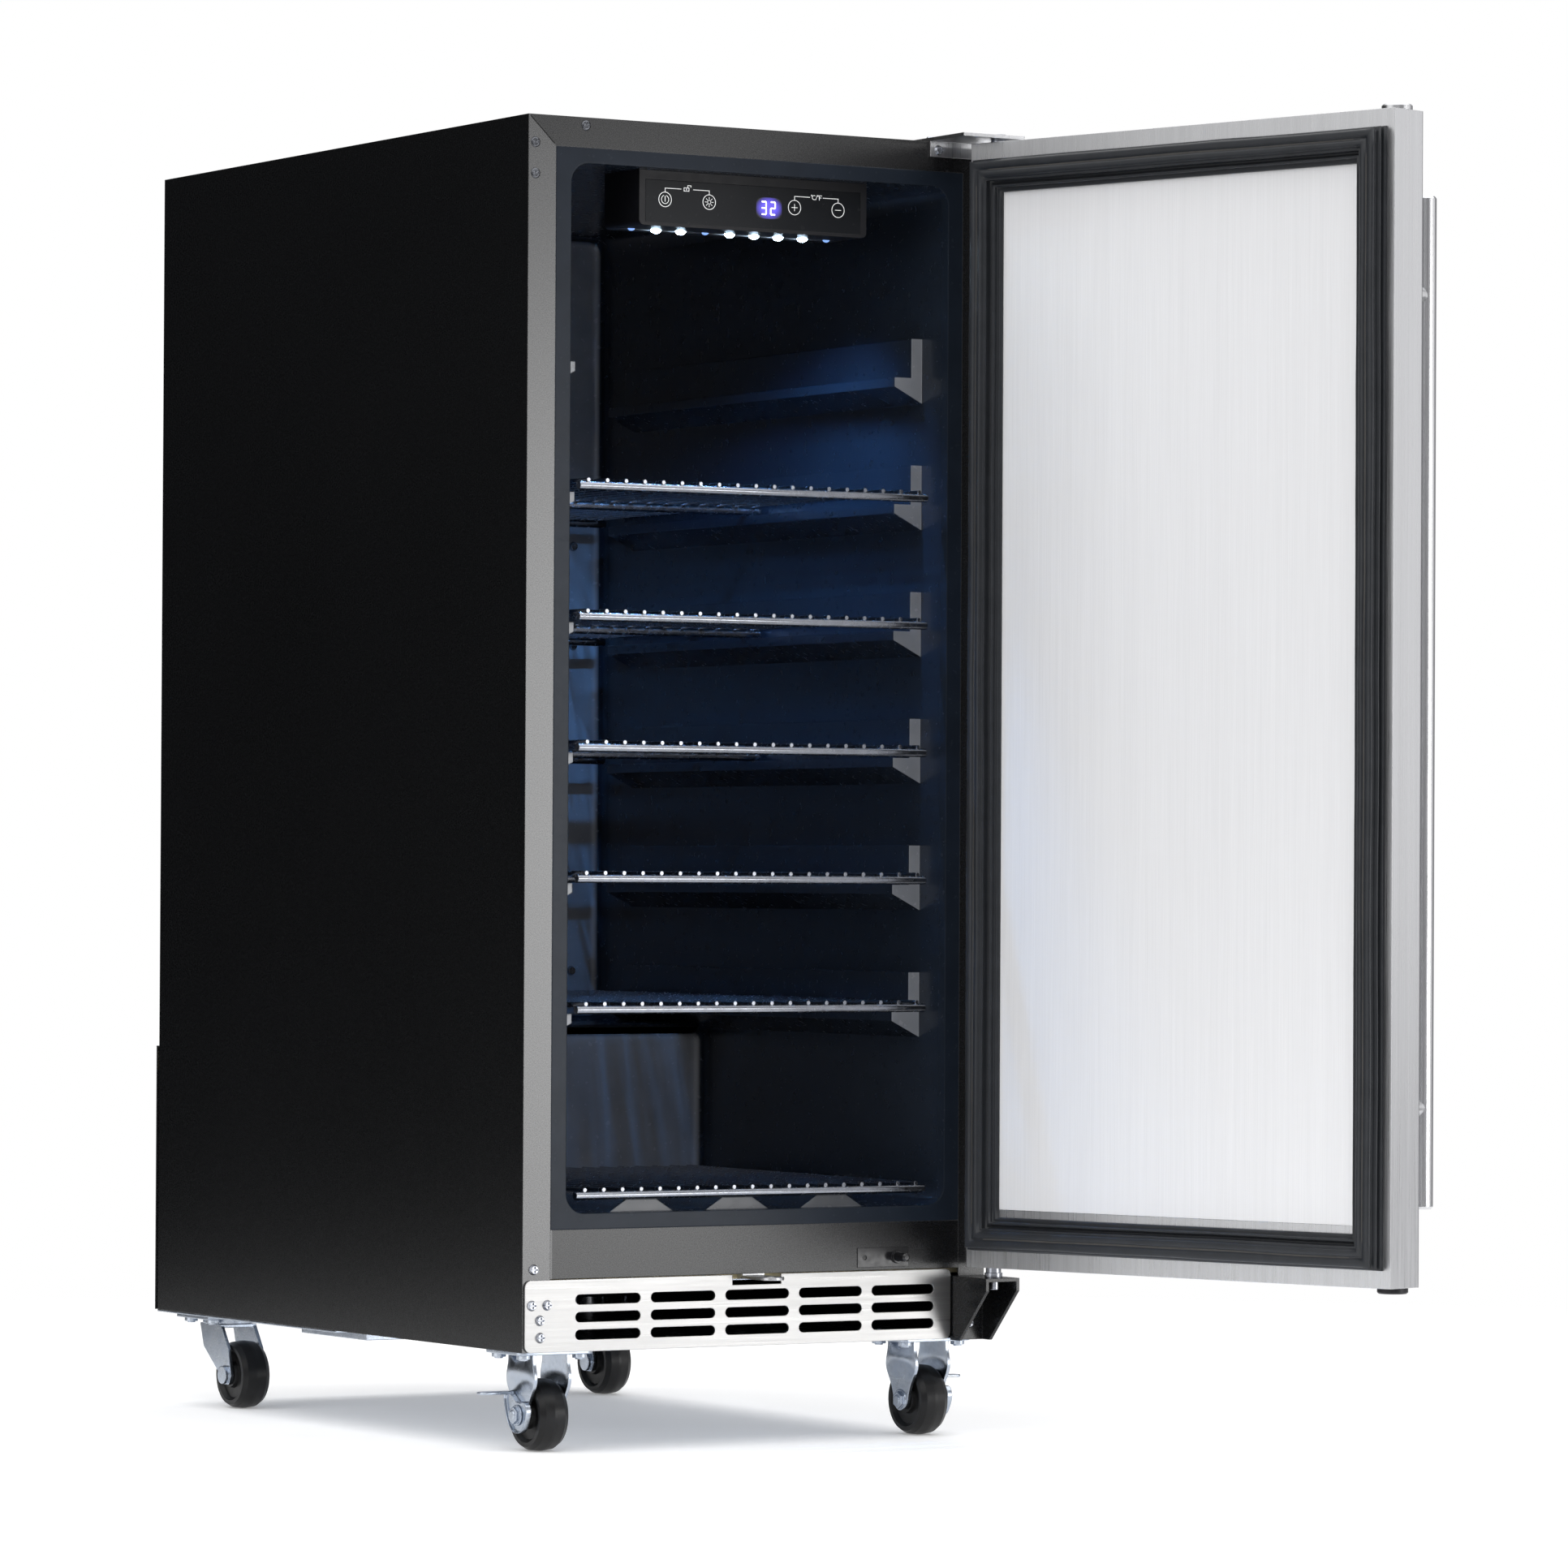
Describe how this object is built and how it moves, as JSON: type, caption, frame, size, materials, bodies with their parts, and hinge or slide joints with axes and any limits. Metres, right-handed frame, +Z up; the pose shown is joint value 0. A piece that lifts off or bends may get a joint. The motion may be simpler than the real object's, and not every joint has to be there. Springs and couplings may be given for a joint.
{
  "type": "mini fridge",
  "caption": "Undercounter mini fridge on casters with an open stainless door, wire shelves in a dark moulded cavity, touch controls and a slotted kick plate.",
  "frame": {"origin": "on the floor under the middle of the whole unit with its door open as at rest", "axes": "+X to the right across the front, +Y from the front to the back, +Z up from the floor"},
  "size_m": [0.5246, 0.9478, 0.9227],
  "materials": {
    "black_steel": "satin",
    "zinc_steel": "satin",
    "foam": "matte",
    "liner_plastic": "satin",
    "aluminium": "satin",
    "stainless": "satin",
    "stainless_bright": "satin",
    "bright_steel": "polished",
    "white_plastic": "satin",
    "black_plastic": "satin",
    "touch_glass": "gloss",
    "circuit_board": "satin",
    "lamp_lens": "gloss",
    "gasket_rubber": "satin",
    "magnet": "matte",
    "wheel_rubber": "satin",
    "black_rubber": "matte",
    "compressor_paint": "gloss",
    "copper": "satin",
    "black_screw": "satin",
    "shelf_wire": "satin"
  },
  "bodies": {
    "cabinet": {"base_pan": "zinc_steel", "bottom_hinge_bracket": "black_steel", "cabinet_wrap": "black_steel", "caster_bolts": "zinc_steel", "compressor": "compressor_paint", "compressor_grommets": "black_rubber", "condenser_coil": "aluminium", "control_board": "circuit_board", "control_housing": "black_plastic", "cord_gland": "black_rubber", "cross_rail": "zinc_steel", "door_switch_plate": "black_plastic", "drip_tray": "black_plastic", "evaporator_plate": "aluminium", "fan_frame": "black_plastic", "frame_screws": "black_screw", "front_caster_forks": "zinc_steel", "front_rail": "black_steel", "hinge_pins": "bright_steel", "inner_liner": "liner_plastic", "insulation_foam": "foam", "kick_plate": "stainless", "lamp_strip": "white_plastic", "lamps": "lamp_lens", "lock_tab": "stainless", "machine_bay_panel": "zinc_steel", "rear_caster_plates": "zinc_steel", "rear_cover": "black_steel", "rear_panel": "black_steel", "refrigerant_pipes": "copper", "steel_screws": "bright_steel", "terminal_cover": "black_plastic", "top_hinge_bracket": "stainless", "touch_panel": "touch_glass"},
    "door": {"door_skin": "stainless", "door_foam": "foam", "door_inner_panel": "stainless_bright", "door_gasket": "gasket_rubber", "door_magnets": "magnet", "handle_bar": "stainless", "handle_posts": "stainless", "door_cap_top": "stainless", "door_cap_bottom": "black_plastic", "door_bushes": "black_plastic"},
    "shelf_1": {"shelf_1": "shelf_wire"},
    "shelf_2": {"shelf_2": "shelf_wire"},
    "shelf_3": {"shelf_3": "shelf_wire"},
    "shelf_4": {"shelf_4": "shelf_wire"},
    "shelf_5": {"shelf_5": "shelf_wire"},
    "bottom_rack": {"bottom_rack": "shelf_wire"},
    "switch_plunger": {"door_switch_plunger": "black_plastic"},
    "fan": {"fan_blade": "black_plastic"},
    "front_wheel_left": {"front_wheel_left": "wheel_rubber"},
    "brake_pedal_left": {"brake_pedal_left": "zinc_steel"},
    "rear_swivel_left": {"rear_fork_left": "zinc_steel"},
    "rear_wheel_left": {"rear_wheel_left": "wheel_rubber"},
    "front_wheel_right": {"front_wheel_right": "wheel_rubber"},
    "brake_pedal_right": {"brake_pedal_right": "zinc_steel"},
    "rear_swivel_right": {"rear_fork_right": "zinc_steel"},
    "rear_wheel_right": {"rear_wheel_right": "wheel_rubber"}
  },
  "joints": [
    {"name": "door_swing", "type": "hinge", "parent": "cabinet", "child": "door", "pos_m": [0.1107, -0.12106, 0.4], "axis": [0, 0, 1], "range_deg": [-106.5, 13.5]},
    {"name": "shelf_1_slide", "type": "slide", "parent": "cabinet", "child": "shelf_1", "axis": [0, -1, 0], "range_m": [0, 0.28]},
    {"name": "shelf_2_slide", "type": "slide", "parent": "cabinet", "child": "shelf_2", "axis": [0, -1, 0], "range_m": [0, 0.28]},
    {"name": "shelf_3_slide", "type": "slide", "parent": "cabinet", "child": "shelf_3", "axis": [0, -1, 0], "range_m": [0, 0.28]},
    {"name": "shelf_4_slide", "type": "slide", "parent": "cabinet", "child": "shelf_4", "axis": [0, -1, 0], "range_m": [0, 0.28]},
    {"name": "shelf_5_slide", "type": "slide", "parent": "cabinet", "child": "shelf_5", "axis": [0, -1, 0], "range_m": [0, 0.28]},
    {"name": "bottom_rack_slide", "type": "slide", "parent": "cabinet", "child": "bottom_rack", "axis": [0, -1, 0], "range_m": [0, 0.28]},
    {"name": "switch_press", "type": "slide", "parent": "cabinet", "child": "switch_plunger", "axis": [0, 1, 0], "range_m": [0, 0.005], "stiffness_N_per_m": 200},
    {"name": "fan_spin", "type": "hinge", "parent": "cabinet", "child": "fan", "pos_m": [-0.0933, 0.37494, 0.1303], "axis": [1, 0, 0], "continuous": true},
    {"name": "front_wheel_left_roll", "type": "hinge", "parent": "cabinet", "child": "front_wheel_left", "pos_m": [-0.2203, -0.05556, 0.025], "axis": [1, 0, 0], "continuous": true},
    {"name": "brake_pedal_left_press", "type": "hinge", "parent": "cabinet", "child": "brake_pedal_left", "pos_m": [-0.2203, -0.05556, 0.025], "axis": [1, 0, 0], "range_deg": [-12, 0]},
    {"name": "rear_swivel_left_turn", "type": "hinge", "parent": "cabinet", "child": "rear_swivel_left", "pos_m": [-0.2203, 0.41494, 0.06], "axis": [0, 0, 1], "continuous": true},
    {"name": "rear_wheel_left_roll", "type": "hinge", "parent": "rear_swivel_left", "child": "rear_wheel_left", "pos_m": [-0.2203, 0.39094, 0.025], "axis": [1, 0, 0], "continuous": true},
    {"name": "front_wheel_right_roll", "type": "hinge", "parent": "cabinet", "child": "front_wheel_right", "pos_m": [0.0897, -0.05556, 0.025], "axis": [1, 0, 0], "continuous": true},
    {"name": "brake_pedal_right_press", "type": "hinge", "parent": "cabinet", "child": "brake_pedal_right", "pos_m": [0.0897, -0.05556, 0.025], "axis": [1, 0, 0], "range_deg": [-12, 0]},
    {"name": "rear_swivel_right_turn", "type": "hinge", "parent": "cabinet", "child": "rear_swivel_right", "pos_m": [0.0897, 0.41494, 0.06], "axis": [0, 0, 1], "continuous": true},
    {"name": "rear_wheel_right_roll", "type": "hinge", "parent": "rear_swivel_right", "child": "rear_wheel_right", "pos_m": [0.0897, 0.39094, 0.025], "axis": [1, 0, 0], "continuous": true}
  ]
}
